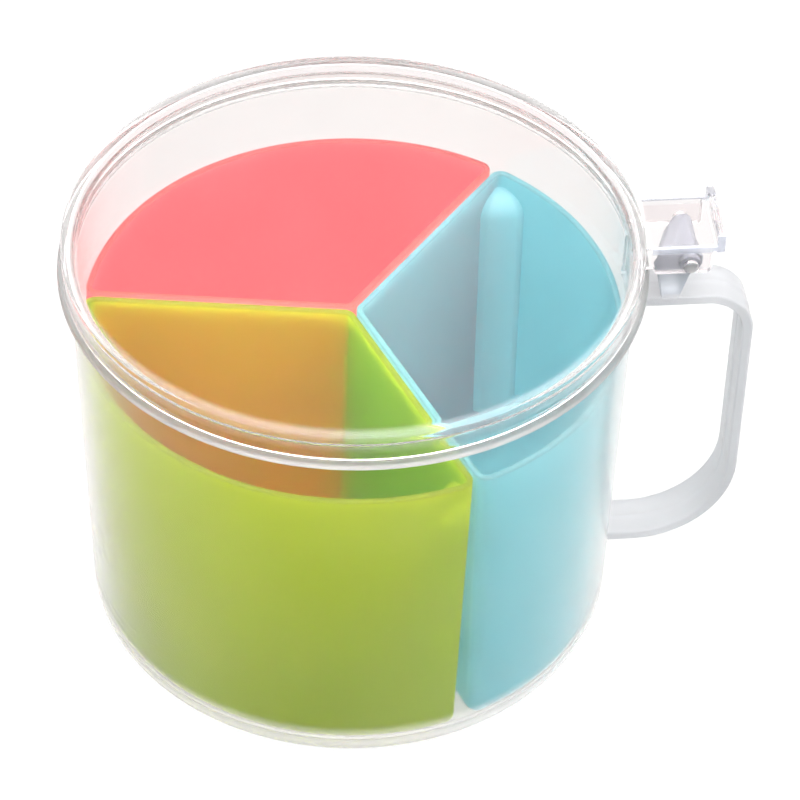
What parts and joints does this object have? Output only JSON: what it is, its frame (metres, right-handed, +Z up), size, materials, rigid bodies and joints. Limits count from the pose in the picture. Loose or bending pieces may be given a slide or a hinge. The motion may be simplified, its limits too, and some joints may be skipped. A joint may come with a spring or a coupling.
{
  "type": "three-compartment hinged-lid pot",
  "caption": "Round frosted pot with a strap handle and a clear hinged cap lid, holding lift-out wedge-shaped coloured cups side by side.",
  "frame": {"origin": "centre of the foot ring on the pot's axis, in the plane it stands on", "axes": "+Z up along the pot's axis, +X from the axis towards the handle and the hinge, +Y along the hinge pin"},
  "size_m": [0.1372, 0.115, 0.0945],
  "materials": {
    "frosted_plastic": "fine frosted, milky translucent",
    "pin_plastic": "satin natural plastic",
    "clear_plastic": "polished, water clear",
    "pink_plastic": "satin, translucent pink",
    "green_plastic": "satin, translucent lime green",
    "blue_plastic": "satin, translucent pale blue"
  },
  "bodies": {
    "pot": {"pot_shell": "frosted_plastic", "handle_strap": "frosted_plastic", "hinge_post": "frosted_plastic", "hinge_pin": "pin_plastic"},
    "lid": {"lid_cap": "clear_plastic", "thumb_tab": "clear_plastic"},
    "pink": {"pink_cup": "pink_plastic"},
    "green": {"green_cup": "green_plastic"},
    "blue": {"blue_cup": "blue_plastic"}
  },
  "joints": [
    {"name": "lid_hinge", "type": "hinge", "parent": "pot", "child": "lid", "pos_m": [0.0652, 0, 0.0864], "axis": [0, 1, 0], "range_deg": [0, 120]},
    {"name": "pink_lift", "type": "slide", "parent": "pot", "child": "pink", "axis": [0, 0, 1], "range_m": [0, 0.016]},
    {"name": "green_lift", "type": "slide", "parent": "pot", "child": "green", "axis": [0, 0, 1], "range_m": [0, 0.016]},
    {"name": "blue_lift", "type": "slide", "parent": "pot", "child": "blue", "axis": [0, 0, 1], "range_m": [0, 0.016]}
  ]
}
